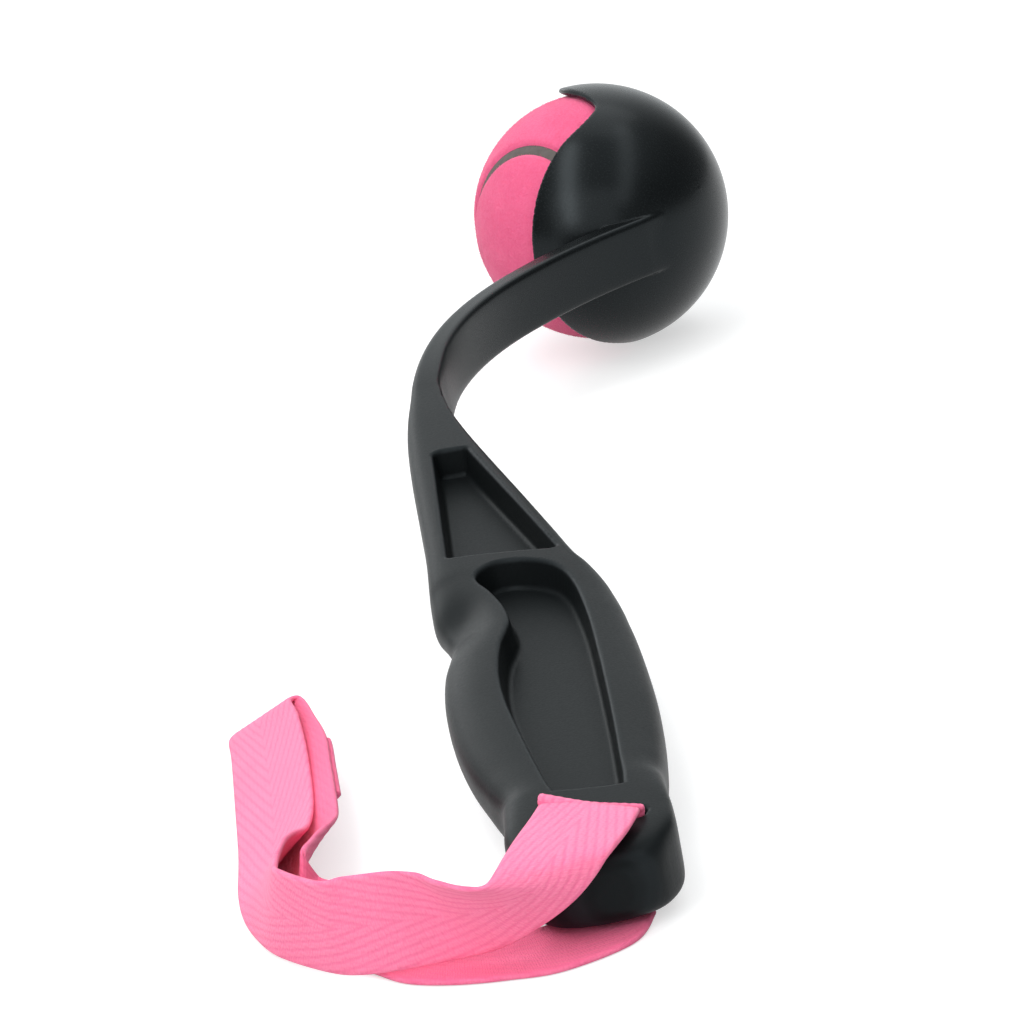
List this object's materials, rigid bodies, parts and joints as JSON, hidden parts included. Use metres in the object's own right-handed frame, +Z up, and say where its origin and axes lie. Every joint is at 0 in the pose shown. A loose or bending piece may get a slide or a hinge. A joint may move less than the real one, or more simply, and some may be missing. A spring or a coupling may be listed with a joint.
{
  "type": "dog ball launcher",
  "caption": "Hand-held ball launcher for dogs: moulded grip and bent arm with an open cup that holds a felt ball, and a sewn webbing wrist loop through the pommel.",
  "frame": {"origin": "middle of the ball as it sits in the cup", "axes": "+Z is up from the table the launcher lies on, +Y runs from the pommel towards the cup and +X is to the right seen from the pommel end"},
  "size_m": [0.13, 0.4338, 0.0688],
  "materials": {
    "moulding": "satin, glossier on the cup",
    "ball_rubber": "matte",
    "felt": "short napped felt",
    "seam_rubber": "matte",
    "webbing": "herringbone webbing",
    "thread": "sewing thread"
  },
  "bodies": {
    "launcher": {"launcher_body": "moulding", "strap_anchor": "webbing"},
    "ball": {"ball_core_a": "ball_rubber", "ball_core_b": "ball_rubber", "ball_felt_a": "felt", "ball_felt_b": "felt", "ball_seam": "seam_rubber"},
    "strap": {"strap_loop": "webbing", "strap_lap": "webbing", "strap_stitching": "thread"}
  },
  "joints": [
    {"name": "ball_release", "type": "slide", "parent": "launcher", "child": "ball", "axis": [-0.9455, 0.3249, 0.0207], "range_m": [0, 0.075]},
    {"name": "strap_swing", "type": "hinge", "parent": "launcher", "child": "strap", "pos_m": [-0.01991, -0.36998, -0.02358], "axis": [0, 0, 1], "range_deg": [0, 90]}
  ]
}
